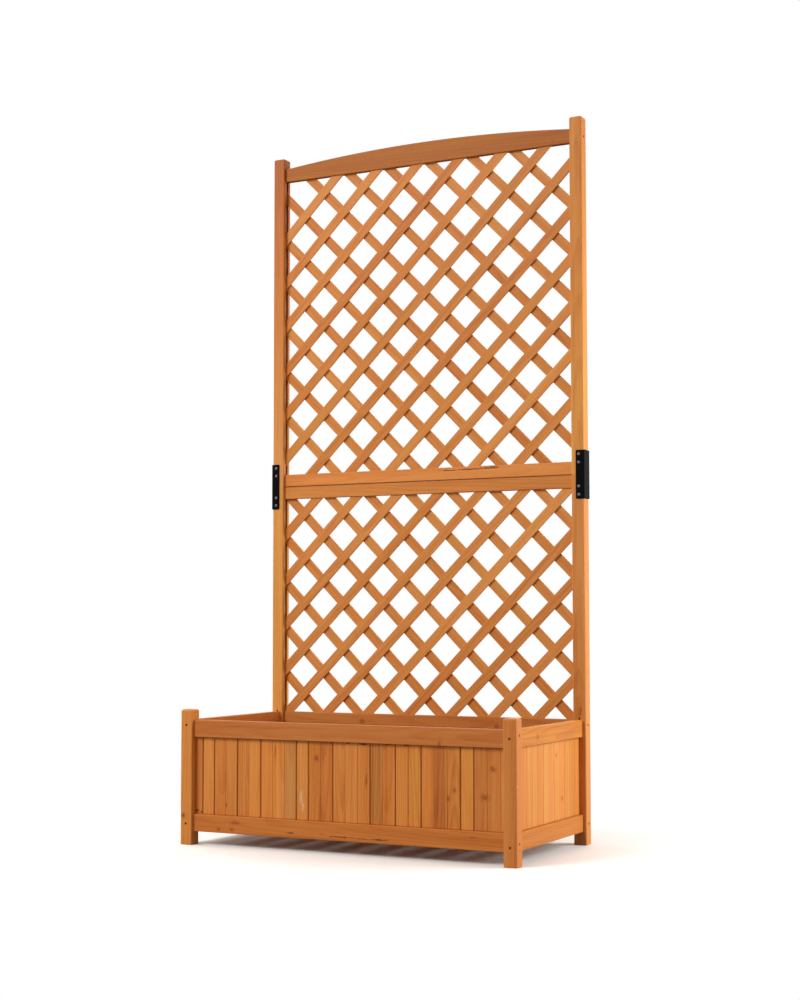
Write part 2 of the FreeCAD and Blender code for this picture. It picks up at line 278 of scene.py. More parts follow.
def eased_copy(node, radius, shortest=0.0):
    """A CAD node's solids with every sharp edge rounded that is not too short."""
    bm = cad_copy(node)
    weights = bm.edges.layers.float.new("bevel_weight_edge")
    for edge in bm.edges:
        sharp = len(edge.link_faces) == 2 and edge.calc_face_angle(0.0) > EASED_ANGLE
        edge[weights] = 1.0 if sharp and edge.calc_length() >= shortest else 0.0
    piece = to_object("finished_" + node, bm)
    bevel = piece.modifiers.new("eased", "BEVEL")
    bevel.limit_method = "WEIGHT"
    bevel.width = radius
    bevel.segments = 3
    bevel.use_clamp_overlap = False
    applied(piece)
    return piece


def even_normals(piece):
    """Flat faces shade flat, and only the rounded edges between them turn."""
    piece.data.set_sharp_from_angle(angle=SHARP_ANGLE)
    weighted = piece.modifiers.new("normals", "WEIGHTED_NORMAL")
    weighted.mode = "FACE_AREA"
    weighted.weight = 100
    weighted.keep_sharp = True
    applied(piece)


# ---- grain ----
# Each stick of wood carries its own grain coordinates: how far a point is from the middle of its
# tree across the stick, how far it is along the stick, and how far it is from that middle in depth.
# The materials draw rings and fibres from them.

DIAGONAL = math.sqrt(0.5)
STICK_AXES = [Vector((1, 0, 0)), Vector((0, 1, 0)), Vector((0, 0, 1)),
              Vector((DIAGONAL, 0, DIAGONAL)), Vector((-DIAGONAL, 0, DIAGONAL))]
PITH_DEPTHS = (18, 70)  # millimetres from the middle of a stick to the middle of its tree
PITH_SPREAD = 26  # and to the side, in millimetres
GRAIN_STARTS = (-4, 4)  # metres along the tree
TONE_SPREAD = 0.55
TONE_LIMIT = 1.6
TINT_SPREAD = 0.03
TINTS = {  # what a stick's colour is multiplied by
    "red": (1.00, 0.92, 0.87), "gold": (1.03, 1.04, 0.96), "grey": (0.82, 0.91, 1.02),
    "pale": (1.08, 1.16, 1.34), "deep": (0.88, 0.82, 0.76), "honey": (0.99, 1.13, 1.10),
    "rust": (0.87, 0.82, 0.84), "amber": (0.87, 0.89, 0.50), "copper": (0.78, 0.71, 0.40),
    # "shaded" darkens boards as painted shade.
    "dusk": (0.90, 0.87, 0.90), "umber": (0.76, 0.73, 0.76), "walnut": (0.54, 0.41, 0.06),
    "tan": (0.90, 0.93, 0.92), "brick": (0.78, 0.70, 0.77), "clay": (0.90, 0.87, 0.94),
    "straw": (0.92, 0.98, 1.12), "sand": (0.95, 1.03, 1.20), "plain": (1.0, 1.0, 1.0),
}


def mark_points(piece, name, kind, field, values):
    """Give the points of a piece an attribute."""
    piece.data.attributes.new(name, kind, "POINT").data.foreach_set(field, values)


def extent(points, axis):
    """How far points reach along an axis."""
    reaches = [point.dot(axis) for point in points]
    return max(reaches) - min(reaches)


def by_place(middle):
    """Sticks in order of X, then Y, then Z."""
    return [round(c, 4) for c in middle]


def grained(piece, seed, spread=1.0, looks=None, order=by_place, drift=0.0):
    """Give each stick of a piece its grain, tone and tint, the same on each run.

    drift is painted shade, for light that falls off along a stick: how much darker a stick is at its
    far end than in its middle.
    """
    rng = random.Random(seed)
    bm = bmesh.new()
    bm.from_mesh(piece.data)
    bm.verts.index_update()
    sticks = []
    for verts in islands(bm):
        sticks.append((sum((vert.co for vert in verts), Vector()) / len(verts), verts))
    sticks.sort(key=lambda stick: order(stick[0]))
    grain = [None] * len(bm.verts)
    tone = [0.0] * len(bm.verts)
    tint = [None] * len(bm.verts)
    for number, (middle, verts) in enumerate(sticks):
        points = [vert.co for vert in verts]
        along = max(STICK_AXES, key=lambda axis: extent(points, axis))
        depth = Vector((0, 1, 0)) if abs(along.y) < 0.5 else Vector((1, 0, 0))
        across = along.cross(depth)
        if extent(points, across) < extent(points, depth):
            across, depth = depth, across
        pith_depth = rng.choice((-1, 1)) * rng.uniform(*PITH_DEPTHS) * MM
        pith_across = rng.gauss(0, 1) * PITH_SPREAD * MM
        start = rng.uniform(*GRAIN_STARTS)
        direction = rng.choice((-1, 1))
        own_tone = max(-TONE_LIMIT, min(TONE_LIMIT, rng.gauss(0, TONE_SPREAD))) * spread
        own_tint = [1 + spread * rng.uniform(-TINT_SPREAD, TINT_SPREAD) for channel in range(3)]
        reach = extent(points, along) / 2
        if looks:
            word = looks[number % len(looks)]
            own_tint = [a * b for a, b in zip(own_tint, TINTS[word])]
        for vert in verts:
            away = vert.co - middle
            grain[vert.index] = (away.dot(across) - pith_across,
                                 direction * away.dot(along) + start,
                                 away.dot(depth) - pith_depth)
            tone[vert.index] = own_tone + drift * away.dot(along) / reach
            tint[vert.index] = (*own_tint, 1.0)
    bm.free()
    mark_points(piece, "grain", "FLOAT_VECTOR", "vector", [c for point in grain for c in point])
    mark_points(piece, "tone", "FLOAT", "value", tone)
    mark_points(piece, "tint", "FLOAT_COLOR", "color", [c for colour in tint for c in colour])


def paint_crease_shade(piece, darkness):
    """Mark where painted shade falls in a piece's creases: darkness says how much at a point, from 0
    to 1.
    """
    values = [max(0.0, min(1.0, darkness(vert.co))) for vert in piece.data.vertices]
    mark_points(piece, "crease", "FLOAT", "value", values)


# ---- materials ----

def srgb(red, green, blue):
    """A colour written as on screen, 0 to 255, as the shader takes it."""
    channels = [value / 255 for value in (red, green, blue)]
    return tuple(c / 12.92 if c <= 0.04045 else ((c + 0.055) / 1.055) ** 2.4
                 for c in channels) + (1.0,)


class Tree:
    """Short ways to write the nodes of a material or a world."""

    def __init__(self, name, kind="materials"):
        self.owner = getattr(bpy.data, kind).new(name)
        self.owner.use_nodes = True
        self.tree = self.owner.node_tree
        self.tree.nodes.clear()

    def node(self, kind, inputs=None, **settings):
        made = self.tree.nodes.new(kind)
        for setting, value in settings.items():
            setattr(made, setting, value)
        for socket, value in (inputs or {}).items():
            if isinstance(value, bpy.types.NodeSocket):
                self.tree.links.new(value, made.inputs[socket])
            else:
                made.inputs[socket].default_value = value
        return made

    def attribute(self, name, output):
        return self.node("ShaderNodeAttribute", attribute_name=name).outputs[output]

    def place(self):
        return self.node("ShaderNodeTexCoord").outputs["Object"]

    def math(self, operation, *values):
        return self.node("ShaderNodeMath", dict(enumerate(values)), operation=operation).outputs[0]

    def vector(self, operation, *values):
        made = self.node("ShaderNodeVectorMath", dict(enumerate(values)), operation=operation)
        return made.outputs["Value" if operation == "LENGTH" else "Vector"]

    def smooth(self, value, low, high):
        """0 below low, 1 above high, and a soft step between."""
        made = self.node("ShaderNodeMapRange", {"Value": value, "From Min": low, "From Max": high},
                         interpolation_type="SMOOTHSTEP")
        return made.outputs["Result"]

    def fade(self, value, low, high):
        """1 below low, 0 above high, and a soft step between."""
        return self.math("SUBTRACT", 1.0, self.smooth(value, low, high))

    def swayed(self, value, noise, amount):
        """A value that goes up and down with a noise whose middle is 0.5."""
        return self.math("MULTIPLY_ADD", self.math("SUBTRACT", noise, 0.5), amount, value)

    def mix(self, factor, first, second, blend="MIX"):
        made = self.node("ShaderNodeMix", {0: factor, 6: first, 7: second},
                         data_type="RGBA", blend_type=blend)
        return made.outputs[2]

    def stain_and_shade(self, colour, share, depth, stain):
        """A colour with a stain of some depth where share is 1, and none where it is 0; the painted
        shade in creases is laid on the same way.
        """
        return self.mix(self.math("MULTIPLY", share, depth), colour, stain)

    def noise(self, place, waves, detail=2.0, roughness=0.5):
        """A noise with so many waves per metre along each axis of a place."""
        made = self.node("ShaderNodeTexNoise", {
            "Vector": self.vector("MULTIPLY", place, waves), "Scale": 1.0,
            "Detail": detail, "Roughness": roughness})
        return made.outputs["Fac"]

    def ramp(self, value, stops):
        made = self.node("ShaderNodeValToRGB", {0: value})
        elements = made.color_ramp.elements
        while len(elements) < len(stops):
            elements.new(1.0)
        for element, (position, colour) in zip(elements, stops):
            element.position = position
            element.color = colour
        return made.outputs["Color"]

    def background_ray(self):
        """1 for rays from the camera and those that gloss or glass sends on, and 0 for light."""
        path = self.node("ShaderNodeLightPath").outputs
        shiny = self.math("MAXIMUM", path["Is Glossy Ray"], path["Is Transmission Ray"])
        return self.math("MAXIMUM", path["Is Camera Ray"], shiny)

    def surface(self, shader, output="ShaderNodeOutputMaterial"):
        self.node(output, {"Surface": shader})
        return self.owner

    def principled(self, inputs):
        return self.surface(self.node("ShaderNodeBsdfPrincipled", inputs).outputs[0])


WOOD_STOPS = [
    (0.00, srgb(234, 164, 92)),
    (0.30, srgb(221, 143, 68)),
    (0.52, srgb(208, 124, 51)),
    (0.74, srgb(188, 103, 38)),
    (1.00, srgb(150, 74, 26)),
]
WOOD_MIDDLE = 0.46  # where on WOOD_STOPS plain wood lies
PORE_COLOUR = srgb(150, 74, 26)
KNOT_COLOUR = srgb(146, 70, 26)
KNOT_RIM_COLOUR = srgb(92, 44, 18)
MARK_COLOUR = srgb(62, 34, 18)
PALE_COLOUR = srgb(240, 224, 200)
CREASE_SHADE_COLOUR = srgb(108, 52, 21)

RING_WIDTH = 3.4 * MM
TAPER = 0.022  # how much the rings widen along the stick
WANDER = 9.0 * MM  # how far the rings stray from round
KNOT_BEND = 9.0 * MM  # and how far a knot pushes them aside

# How far each feature moves a colour along WOOD_STOPS.
RING_DEPTHS = (0.03, 0.13)  # the least, and what strong rings add
BROAD_DEPTH = 0.55
STREAK_DEPTH = 0.60
FIBRE_DEPTH = 0.22
TONE_DEPTH = 0.12
SWIRL_DEPTH = 0.16

# How much of a stain's own colour shows, and how dark the painted shade is.
PORE_STAIN = 0.18
RIM_STAIN = 0.38
MARK_STAIN = 0.85
CREASE_SHADE = 0.75
LIP_SHADE = 0.75  # how dark the painted shadow line under a rail's edge is

# The painted shadow line along the rails' edges: how ragged, and how far it reaches.
LIP_RAGGED = 1.6 * MM
LIP_LINE = (1.2 * MM, 3.4 * MM)  # dark to here from the rail's edge, and gone by there
KNOT_CELLS = (11, 3.2, 0.0)  # knots per metre that fall by chance
KNOT_SIZE = 0.045  # radius of one in its cell
FAR_AWAY = 99.0


class Wood(Tree):
    """Stained softwood.  Its grain runs across, along and through each stick, in metres.

    Reaches are how far a point is from a knot or mark, in its radii, with a wobbly edge.
    """

    def __init__(self, name):
        super().__init__(name)
        self.grain = self.attribute("grain", "Vector")
        self.here = self.place()
        self.wobble = self.swayed(0.0, self.noise(self.here, (190, 190, 190), 3.0, 0.6), 2.0)

    def reach(self, spots):
        """The reach of the nearest of some spots."""
        nearest = None
        for centre, radii in spots:
            offset = self.vector("SUBTRACT", self.here, [c * MM for c in centre])
            reach = self.vector("LENGTH", self.vector("DIVIDE", offset, [r * MM for r in radii]))
            nearest = self.math("MINIMUM", nearest, reach) if nearest else reach
        return self.math("ADD", nearest, self.wobble)

    def wild_reach(self, share):
        """The reach of knots that fall by chance, in a share of the cells of the wood."""
        cells = self.node("ShaderNodeTexVoronoi", {
            "Vector": self.vector("MULTIPLY", self.grain, KNOT_CELLS), "Scale": 1.0})
        draw = self.node("ShaderNodeSeparateColor", {0: cells.outputs["Color"]}).outputs[0]
        empty = self.math("LESS_THAN", draw, 1.0 - share)
        reach = self.math("DIVIDE", cells.outputs["Distance"], KNOT_SIZE)
        reach = self.math("MULTIPLY_ADD", empty, FAR_AWAY, reach)
        return self.math("ADD", reach, self.wobble)

    def late_wood(self, swirl):
        """The dark half of each ring, from 0 to 1; swirl is 1 at a knot."""
        along = self.node("ShaderNodeSeparateXYZ", {0: self.grain}).outputs[1]
        radius = self.vector("LENGTH", self.vector("MULTIPLY", self.grain, (1, 0, 1)))
        radius = self.swayed(radius, self.noise(self.grain, (24, 3.5, 24)), WANDER)
        radius = self.math("MULTIPLY_ADD", along, TAPER, radius)
        radius = self.math("MULTIPLY_ADD", swirl, KNOT_BEND, radius)
        ring = self.math("FRACT", self.math("DIVIDE", radius, RING_WIDTH))
        rise = self.math("POWER", self.smooth(ring, 0.15, 0.86), 2.2)
        return self.math("MULTIPLY", rise, self.fade(ring, 0.90, 1.0))

    def plain_colour(self, late, fibre, swirl, streaks):
        """The wood's own colour, with rings, streaks and fibres along the stick."""
        strength = self.smooth(self.noise(self.grain, (16, 1.2, 16)), 0.25, 0.75)
        broad = self.noise(self.grain, (20, 1.5, 20))
        streak = self.noise(self.grain, (120, 2.2, 120), 3.0, 0.6)
        least, more = RING_DEPTHS
        ring_depth = self.math("MULTIPLY_ADD", strength, more * streaks, least)
        value = self.math("MULTIPLY_ADD", late, ring_depth, WOOD_MIDDLE)
        value = self.swayed(value, broad, BROAD_DEPTH * streaks)
        value = self.swayed(value, streak, STREAK_DEPTH * streaks)
        value = self.swayed(value, fibre, FIBRE_DEPTH)
        value = self.math("MULTIPLY_ADD", self.attribute("tone", "Fac"), TONE_DEPTH, value)
        value = self.math("MULTIPLY_ADD", swirl, SWIRL_DEPTH, value)
        return self.mix(1.0, self.ramp(value, WOOD_STOPS), self.attribute("tint", "Color"),
                        "MULTIPLY")

    def crease_and_lip_shade(self, lips):
        """Painted shade in joints and recesses, and a painted shadow line on boards along the edges
        of the rails.
        """
        shade = self.attribute("crease", "Fac")
        if lips:
            level = self.node("ShaderNodeSeparateXYZ", {0: self.here}).outputs[2]
            ragged = self.math("MULTIPLY", self.noise(self.grain, (300, 30, 300)), LIP_RAGGED)
        for lip in lips:
            away = self.math("ABSOLUTE", self.math("SUBTRACT", level, lip))
            line = self.fade(self.math("ADD", away, ragged), *LIP_LINE)
            shade = self.math("MAXIMUM", shade, self.math("MULTIPLY", line, LIP_SHADE))
        return shade


def wood(name, lightness=1.0, knots=(), marks=(), chips=(), chip_depth=0.6, wild_knots=0.0,
         streaks=0.8, lips=()):
    """Stained softwood with rings, streaks, fibres and knots.

    knots, marks and chips are (centre, radii) in millimetres, in the planter's frame.  Without knots,
    wild_knots is the share of the wood's cells that hold one.  streaks is how lively the wood is, and
    lips are the heights of the rail edges that the boards run behind, in metres; along them the
    boards get a painted shadow line.  Creases that a piece marks get painted shade.
    """
    tree = Wood(name)
    reach = None
    if knots:
        reach = tree.reach(knots)
    elif wild_knots:
        reach = tree.wild_reach(wild_knots)
    swirl = tree.fade(reach, 0.3, 3.2) if reach else 0.0
    late = tree.late_wood(swirl)
    fibre = tree.noise(tree.grain, (900, 14, 900), 3.0, 0.6)
    colour = tree.plain_colour(late, fibre, swirl, streaks)
    colour = tree.mix(1.0, colour, (lightness, lightness, lightness, 1.0), "MULTIPLY")
    pores = tree.smooth(tree.noise(tree.grain, (1500, 60, 1500), 1.0), 0.62, 0.72)
    colour = tree.stain_and_shade(colour, pores, PORE_STAIN, PORE_COLOUR)
    height = tree.math("MULTIPLY_ADD", late, 0.5, tree.math("MULTIPLY", fibre, 0.8))
    height = tree.math("MULTIPLY_ADD", pores, -0.6, height)
    if reach:
        core = tree.fade(reach, 0.75, 1.0)
        rim = tree.math("MULTIPLY", tree.smooth(reach, 0.55, 0.8), tree.fade(reach, 0.95, 1.25))
        speckle = tree.smooth(tree.noise(tree.here, (600, 600, 600)), 0.3, 0.7)
        depth = tree.math("MULTIPLY_ADD", speckle, 0.3, 0.35)
        colour = tree.stain_and_shade(colour, core, depth, KNOT_COLOUR)
        colour = tree.stain_and_shade(colour, rim, RIM_STAIN, KNOT_RIM_COLOUR)
        height = tree.math("MULTIPLY_ADD", rim, -1.2, height)
    if marks:
        mark = tree.fade(tree.reach(marks), 0.45, 1.15)
        colour = tree.stain_and_shade(colour, mark, MARK_STAIN, MARK_COLOUR)
        height = tree.math("MULTIPLY_ADD", mark, -3.0, height)
    if chips:
        chip = tree.fade(tree.reach(chips), 0.6, 1.0)
        colour = tree.stain_and_shade(colour, chip, chip_depth, PALE_COLOUR)
    # Painted shade in joints and recesses, and a painted shadow line along the rails' edges.
    colour = tree.stain_and_shade(colour, tree.crease_and_lip_shade(lips), CREASE_SHADE, CREASE_SHADE_COLOUR)
    bump = tree.node("ShaderNodeBump", {"Strength": 0.35, "Distance": 0.25 * MM, "Height": height})
    rough = tree.math("MULTIPLY_ADD", fibre, 0.16, 0.42)
    return tree.principled({"Base Color": colour, "Roughness": rough, "Normal": bump.outputs[0],
                            "Specular IOR Level": 0.2})


def coated_steel(name, colour, speckle, roughness):
    """Steel under a thin powder coat with a fine orange-peel surface."""
    tree = Tree(name)
    here = tree.place()
    peel = tree.noise(here, (1400, 1400, 1400))
    dust = tree.smooth(tree.noise(here, (90, 90, 60), 4.0), 0.45, 0.8)
    worn = tree.stain_and_shade(colour, dust, 0.5, speckle)
    bump = tree.node("ShaderNodeBump", {"Strength": 0.25, "Distance": 0.08 * MM, "Height": peel})
    rough = tree.math("MULTIPLY_ADD", peel, 0.14, roughness)
    return tree.principled({"Base Color": worn, "Roughness": rough, "Normal": bump.outputs[0],
                            "Specular IOR Level": 0.03})


def bare_steel(name, colour, roughness):
    """Plated steel with fine brushing."""
    tree = Tree(name)
    scratch = tree.noise(tree.place(), (2600, 500, 500), 3.0)
    shade = tree.mix(scratch, colour, tuple(c * 0.7 for c in colour[:3]) + (1.0,))
    rough = tree.math("MULTIPLY_ADD", scratch, 0.2, roughness)
    return tree.principled({"Base Color": shade, "Roughness": rough, "Metallic": 1.0})


# Knots, cracks and marks, as (centre, radii) in millimetres in the planter's frame.
FRONT_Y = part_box("front_boards")[0].y / MM
FRONT_RAIL_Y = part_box("front_top_rail")[0].y / MM
RIGHT_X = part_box("right_boards")[1].x / MM
RIGHT_RAIL_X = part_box("right_top_rail")[1].x / MM
BACK_RAIL_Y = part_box("back_top_rail")[0].y / MM
TRELLIS_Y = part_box("upper_trellis_bottom_rail")[0].y / MM
RIGHT_LEG_X = RIGHT_RAIL_X + 7  # the leg's face stands out from the rail's
# The boards get a painted shadow line along these rail edges.
LIPS = (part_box("front_bottom_rail")[1].z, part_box("front_top_rail")[0].z)
DEEP = 12.0  # radius of a knot through the thickness of a piece
SHALLOW = 4.0  # and of a crack or mark


def facing_front(y, spots, deep=DEEP):
    """Spots on a face at y, from (x, z, radius in x, radius in z)."""
    return [((x, y, z), (wide, deep, tall)) for x, z, wide, tall in spots]


FRONT_BOARD_KNOTS = facing_front(FRONT_Y, [
    (-62, 188, 3.2, 4.5), (-276, 84, 1.6, 3.0), (52, 150, 1.5, 9.0), (232, 122, 2.4, 3.6),
    (245, 138, 2.2, 3.4), (309, 127, 6.0, 4.2), (326, 182, 4.0, 4.2), (-158, 196, 1.3, 14.0),
])
FRONT_BOARD_MARKS = facing_front(FRONT_Y, [
    (10, 221.5, 5.0, 2.4), (45, 220.5, 9.0, 2.8), (100, 221.5, 6.0, 2.2), (140, 221.5, 10.0, 2.0),
    (-349, 70, 6.0, 4.0), (-338, 68, 3.0, 3.0),
], SHALLOW)
FRONT_BOTTOM_KNOTS = facing_front(FRONT_RAIL_Y, [
    (-250, 50, 9.0, 2.4), (-258, 36, 3.4, 2.6), (-290, 35, 3.2, 2.2),
])
FRONT_BOTTOM_MARKS = facing_front(FRONT_RAIL_Y, [
    (-118, 37, 11.0, 1.7), (-44, 39.4, 8.0, 0.8), (-3, 35.5, 30.0, 1.7), (48, 34.9, 22.0, 0.8),
    (85, 35, 21.0, 1.7), (287, 52, 10.0, 0.7),
], SHALLOW)

post_wood = wood("post_wood", wild_knots=0.10)
left_leg_wood = wood("left_leg_wood", knots=[((-373, -195, 60), (4.2, 10.0, 4.0))],
                     marks=[((-373, -195, 60), (2.2, 10.0, 2.2))])
right_leg_wood = wood("right_leg_wood", marks=[((RIGHT_LEG_X, -181, 31), (3.0, 1.8, 2.0))],
                      chips=[((RIGHT_LEG_X, -191.5, 152), (2.0, 2.0, 3.4))])
rail_wood = wood("rail_wood", wild_knots=0.12)
cracked_wood = wood("cracked_wood", marks=facing_front(TRELLIS_Y, [
    (66, 790.9, 30.0, 1.2), (114, 791.6, 34.0, 1.6), (160, 792.4, 30.0, 1.6),
    (172, 795.0, 14.0, 0.9)], SHALLOW))
front_top_wood = wood("front_top_wood", knots=facing_front(FRONT_RAIL_Y, [
    (216, 225, 2.6, 4.6)]))
front_bottom_wood = wood("front_bottom_wood", knots=FRONT_BOTTOM_KNOTS, marks=FRONT_BOTTOM_MARKS,
                         streaks=1.0)
right_top_wood = wood("right_top_wood", knots=[((RIGHT_RAIL_X, -74, 238), (DEEP, 4.0, 3.4))])
back_top_wood = wood("back_top_wood", knots=facing_front(BACK_RAIL_Y, [
    (-150, 240, 5.0, 4.0), (176, 236, 4.0, 5.0)]))
board_wood = wood("board_wood", wild_knots=0.16, streaks=1.0, lips=LIPS)
front_board_wood = wood(
    "front_board_wood", knots=FRONT_BOARD_KNOTS, marks=FRONT_BOARD_MARKS,
    chips=facing_front(FRONT_Y, [(-97, 110, 4.0, 13.0), (-93, 92, 3.4, 12.0)], SHALLOW),
    chip_depth=0.25, streaks=1.0, lips=LIPS)
right_board_wood = wood("right_board_wood", knots=[
    ((RIGHT_X, 40, 194), (DEEP, 2.6, 3.4)), ((RIGHT_X, 70, 105), (DEEP, 3.4, 2.8))],
    streaks=0.6, lips=LIPS)
slat_wood = wood("slat_wood", wild_knots=0.07)
floor_wood = wood("floor_wood", lightness=0.95, wild_knots=0.16, streaks=1.0)
bracket_paint = coated_steel("bracket_paint", srgb(5, 5, 6), srgb(15, 15, 16), 0.34)
head_steel = bare_steel("head_steel", srgb(104, 104, 106), 0.38)
# The frame and trellis screws are near-black: painted shade, so that their sunk heads read as dark
# holes.
dark_steel = coated_steel("dark_steel", srgb(20, 16, 14), srgb(40, 33, 29), 0.5)


# ---- placing pieces ----

def dress(piece, node, material):
    """Finish a piece: it stands for a CAD node and takes that node's place and body."""
    piece.data.materials.clear()
    piece.data.materials.append(material)
    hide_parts(node)
    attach(piece, BODY)


def wooden(piece, node, slot, material, seed, darkness=None, **grain):
    """The same for a piece of wood, with its grain and, if it has any, painted shade in its creases.
    """
    even_normals(piece)
    if darkness:
        paint_crease_shade(piece, darkness)
    grained(piece, seed, **grain)
    dress(piece, node, material)


# ---- screws ----
# Profiles are (radius, depth from the top of the head).

PAN_RADIUS = 3.28 * MM
PAN_FLAT = 1.9 * MM  # radius of the flat middle of the head
PAN_DOME = 1.5 * MM  # height of its rounded part
PAN_TOP = 0.1 * MM
PAN_HEIGHT = 1.8 * MM
DOME_STEPS = 6
DOME_START = 1.2  # the dome starts this many steps in, at the rim of the flat
CROSS_MOUTH = 0.12 * MM
CROSS_DEPTH = 1.25 * MM


def screw_lines(node):
    """(start, direction, length) of each screw: the start is its outer end."""
    lines = []
    for low, high in cad_boxes(node):
        middle = (low + high) / 2
        axis = 0 if high.x - low.x > high.y - low.y else 1
        direction = Vector((0, 0, 0))
        direction[axis] = -1.0 if middle[axis] > 0 else 1.0
        start = middle.copy()
        start[axis] = high[axis] if middle[axis] > 0 else low[axis]
        lines.append((start, direction, high[axis] - low[axis]))
    return lines


def cross_outline(arm, half_width):
    """Radius of a cross recess at an angle."""
    def radius(angle):
        nearer = min(abs(math.sin(angle)), abs(math.cos(angle)))
        return min(arm, half_width / max(1e-6, nearer))
    return radius


def hexagon_outline(across_flats):
    """Radius of a six-sided socket at an angle."""
    sixth = math.pi / 3
    return lambda angle: across_flats / 2 / math.cos(angle % sixth - sixth / 2)


def turned(bm, start, direction, profile, sides=32):
    """A turned solid along a line; a radius of its profile may vary with the angle."""
    across = Vector((0, 0, 1))
    other = direction.cross(across)
    rings = []
    for radius, depth in profile:
        ring = []
        for side in range(sides):
            angle = math.tau * side / sides
            reach = radius(angle) if callable(radius) else radius
            ring.append(start + direction * depth
                        + reach * (across * math.cos(angle) + other * math.sin(angle)))
        rings.append(ring)
    lofted(bm, rings)


def thread(first, last, core, crest, pitch):
    """Profile of a threaded shank with a pointed end."""
    profile = []
    depth = first
    point_length = 4 * crest
    while depth < last - pitch:
        taper = min(1.0, (last - depth) / point_length)
        for share, radius in ((0.0, core), (0.45, core), (0.62, crest), (0.8, core)):
            profile.append((radius * taper, depth + share * pitch))
        depth += pitch
    profile.append((0.05 * core, last))
    return profile


def bracket_head(bm, start, direction, length):
    """A pan-headed screw with a cross recess, standing on the bracket."""
    profile = [(cross_outline(1.1 * MM, 0.3 * MM), CROSS_DEPTH),
               (cross_outline(1.75 * MM, 0.42 * MM), CROSS_MOUTH)]
    for step in range(DOME_STEPS):
        angle = math.pi / 2 * (step + DOME_START) / (DOME_STEPS - 1 + DOME_START)
        profile.append((PAN_FLAT + (PAN_RADIUS - PAN_FLAT) * math.sin(angle),
                        PAN_TOP + PAN_DOME * (1 - math.cos(angle))))
    profile += [(PAN_RADIUS, PAN_HEIGHT), (1.2 * MM, PAN_HEIGHT)]
    profile += thread(2.0 * MM, length, 1.15 * MM, 1.68 * MM, 1.3 * MM)
    turned(bm, start, direction, profile)


def frame_screw(bm, start, direction, length):
    """A slim screw with a six-sided socket, sunk below the face of the wood."""
    socket = hexagon_outline(2.3 * MM)
    profile = [(socket, 1.5 * MM), (socket, 0.05 * MM), (1.7 * MM, 0.0), (2.1 * MM, 0.25 * MM),
               (2.15 * MM, 3.0 * MM), (1.3 * MM, 4.2 * MM)]
    profile += thread(5.0 * MM, length, 1.3 * MM, 2.1 * MM, 1.9 * MM)
    turned(bm, start, direction, profile, sides=24)


for node, slot, make, material in (
        ("bracket_screws", "bracket_screws", bracket_head, head_steel),
        ("frame_screws", "frame_screws", frame_screw, dark_steel),
        ("trellis_screws", "frame_screws", frame_screw, dark_steel)):
    bm = bmesh.new()
    for start, direction, length in screw_lines(node):
        if node == "bracket_screws":  # driven in from the front
            start, direction = start + direction * length, -direction
        make(bm, start, direction, length)
    screws = to_object("finished_" + node, bm)
    screws.data.set_sharp_from_angle(angle=SCREW_SHARP_ANGLE)
    dress(screws, node, material)


# ---- legs and posts ----

LOWER_LATTICE = ("lower_front_slats", "lower_back_slats")
UPPER_LATTICE = ("upper_front_slats", "upper_back_slats")
recessed = screw_lines("frame_screws") + screw_lines("trellis_screws")


def screw_holes(cutter, low, high):
    """Recesses and pilot holes of the screws whose heads lie in a post."""
    for start, direction, length in recessed:
        if all(low[i] - SCREW_REACH < start[i] < high[i] + SCREW_REACH for i in range(3)):
            mouth = start - direction * (RECESS_DEPTH + MM)
            drum(cutter, mouth, start + direction * SCREW_PLAY, RECESS_RADIUS)
            drum(cutter, start, start + direction * (length + SCREW_PLAY), PILOT_RADIUS)


def post_groove(cutter, low, high, lattice):
    """The groove in a post's inner face that takes the ends of the lattice."""
    inner, inwards = (low.x, -1) if low.x > 0 else (high.x, 1)
    slat_low, slat_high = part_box(lattice[0])
    back_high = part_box(lattice[1])[1]
    mouth = inner + inwards * MM
    reach = (slat_high.x if inwards < 0 else slat_low.x) - inwards * SEAT_CLEARANCE
    block(cutter, (min(mouth, reach), slat_low.y - GROOVE_CLEARANCE, slat_low.z),
          (max(mouth, reach), back_high.y + GROOVE_CLEARANCE, slat_high.z + SEAT_CLEARANCE))


def post(name, node, material, seed, look, lattice=None, drift=0.0):
    """A square post with rounded edges, screw recesses and, at the back, the lattice's groove.

    The lower posts at the back carry the upper ones, and have a spare pilot hole.
    """
    low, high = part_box(node)
    lower = lattice is LOWER_LATTICE
    outline = rounded([(low.x, low.y), (high.x, low.y), (high.x, high.y), (low.x, high.y)],
                      POST_ROUND, steps=6)
    bm = bmesh.new()
    foot = FOOT_EASE if low.z < MM else END_EASE
    stick(bm, outline, 2, low.z, high.z, foot, END_EASE if lower else POST_TOP_ROUND)
    piece = to_object(name, bm)
    cutter = bmesh.new()
    screw_holes(cutter, low, high)
    if lattice:
        post_groove(cutter, low, high, lattice)
    if lower:
        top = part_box("right_top_rail")[1].z
        start = Vector(((low.x + high.x) / 2, low.y - MM, top + SPARE_HOLE_RISE))
        drum(cutter, start, start + Vector((0, SPARE_HOLE_DEPTH + MM, 0)), SPARE_HOLE_RADIUS)
    cut_away(piece, cutter)

    def inside(place):
        """Painted shade in the recesses and the groove, and none on the outside or the eased ends."""
        if not low.z + POST_TOP_ROUND < place.z < high.z - POST_TOP_ROUND - END_EASE:
            return 0.0
        depth = min(place.x - low.x, high.x - place.x, place.y - low.y, high.y - place.y)
        return (depth - INSIDE_START) / INSIDE_DEPTH

    wooden(piece, node, "wood_posts", material, seed, inside, spread=0.6, looks=[look],
           drift=drift)


